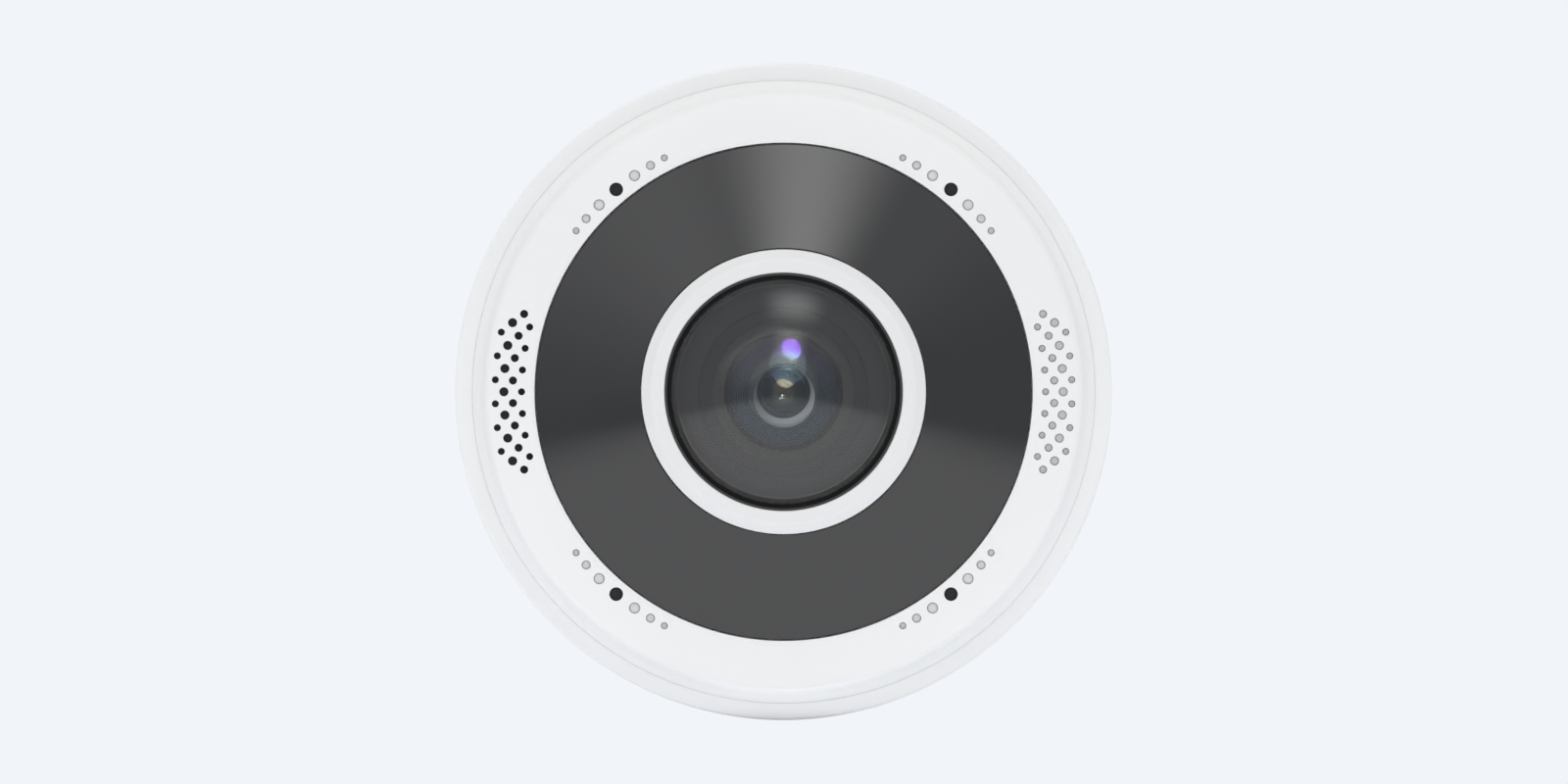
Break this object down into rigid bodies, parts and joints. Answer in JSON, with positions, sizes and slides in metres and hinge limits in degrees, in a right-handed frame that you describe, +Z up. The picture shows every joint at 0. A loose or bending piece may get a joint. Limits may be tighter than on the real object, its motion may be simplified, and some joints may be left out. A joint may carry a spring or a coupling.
{
  "type": "fisheye ip camera",
  "caption": "Round wall or ceiling fisheye network camera with a clear lens dome, dark infrared ring, sound ports and a twist-lock mount plate.",
  "frame": {"origin": "on the wall plane, at the centre of the mount plate's back and of its wall screw circle", "axes": "-Y is the way the lens looks, out of the wall, +Z is up on the wall, and +X is to the right for someone who faces the lens"},
  "size_m": [0.16, 0.058, 0.16],
  "materials": {
    "zinc_steel": "satin",
    "bright_steel": "polished",
    "cast_white": "matte",
    "white_plastic": "satin",
    "black_plastic": "matte",
    "black_rubber": "matte",
    "jack_shell": "satin",
    "gold_contact": "polished",
    "circuit_board": "satin",
    "chip_black": "matte",
    "heat_pad_grey": "matte",
    "transformer_core": "matte",
    "capacitor_can": "satin",
    "smoked_window": "gloss",
    "dome_clear": "polished",
    "led_package": "matte",
    "clear_lens": "polished",
    "black_anodised": "satin",
    "coated_glass": "polished",
    "bare_aluminium": "satin",
    "brass_standoff": "satin",
    "sensor_ceramic": "gloss",
    "filter_glass": "polished",
    "coil_housing": "satin",
    "magnet_metal": "satin",
    "cone_paper": "matte",
    "black_mesh": "matte"
  },
  "bodies": {
    "plate": {"mount_plate": "zinc_steel"},
    "camera": {"twist_lock_studs": "bright_steel", "rear_housing": "cast_white", "housing_gasket": "black_rubber", "ethernet_jack": "jack_shell", "jack_contacts": "gold_contact", "jack_seal": "black_rubber", "reset_switch": "black_plastic", "vent_plug": "black_plastic", "main_board": "circuit_board", "board_screws": "bright_steel", "processor": "chip_black", "heat_pad": "heat_pad_grey", "memory_chips": "chip_black", "poe_transformer": "transformer_core", "power_capacitors": "capacitor_can", "led_header": "black_plastic", "front_cover": "white_plastic", "cover_screws": "bright_steel", "ir_window": "smoked_window", "window_seals": "black_rubber", "lens_collar": "white_plastic", "collar_screws": "bright_steel", "dome_seal": "black_rubber", "lens_dome": "dome_clear", "lens_shroud": "black_plastic", "front_frame": "black_plastic", "frame_screws": "bright_steel", "ir_led_board": "circuit_board", "ir_leds": "led_package", "ir_led_lenses": "clear_lens", "led_board_screws": "bright_steel", "lens_barrel": "black_anodised", "front_lens": "coated_glass", "second_lens": "coated_glass", "lens_spacer": "bare_aluminium", "third_lens": "coated_glass", "rear_lens": "coated_glass", "lens_lock_ring": "black_anodised", "lens_holder": "black_anodised", "filter_base": "black_plastic", "holder_screws": "bright_steel", "sensor_standoffs": "brass_standoff", "sensor_board": "circuit_board", "image_sensor": "sensor_ceramic", "board_connector": "black_plastic", "filter_coil": "coil_housing", "speaker_frame": "black_plastic", "speaker_magnet": "magnet_metal", "speaker_duct": "black_rubber", "port_meshes": "black_mesh", "microphones": "circuit_board", "mic_boots": "black_rubber"},
    "security_screw": {"security_screw": "bright_steel"},
    "reset_button": {"reset_button": "black_plastic"},
    "filter_lever": {"filter_lever": "black_plastic"},
    "filter_slide": {"filter_frame": "black_plastic", "filter_glasses": "filter_glass"},
    "speaker_cone": {"speaker_cone": "cone_paper"}
  },
  "joints": [
    {"name": "body_twist", "type": "hinge", "parent": "plate", "child": "camera", "pos_m": [0, 0, 0], "axis": [0, -1, 0], "range_deg": [0, 15]},
    {"name": "security_screw_turn", "type": "hinge", "parent": "camera", "child": "security_screw", "pos_m": [0, -0.0034, -0.075], "axis": [0, 0, -1], "range_deg": [0, 720]},
    {"name": "reset_press", "type": "slide", "parent": "camera", "child": "reset_button", "axis": [0, -1, 0], "range_m": [0, 0.0004], "stiffness_N_per_m": 1500},
    {"name": "filter_lever_swing", "type": "hinge", "parent": "camera", "child": "filter_lever", "pos_m": [0, -0.035, -0.022], "axis": [0, 1, 0], "range_deg": [0, 60.1]},
    {"name": "filter_shift", "type": "slide", "parent": "camera", "child": "filter_slide", "axis": [1, 0, 0], "range_m": [0, 0.0105]},
    {"name": "speaker_cone_travel", "type": "slide", "parent": "camera", "child": "speaker_cone", "axis": [0, -1, 0], "range_m": [-0.0004, 0.0004], "stiffness_N_per_m": 1500}
  ],
  "couplings": [
    {"joint": "filter_lever_swing", "follows": "filter_shift", "rad_per_m": 99.733}
  ]
}
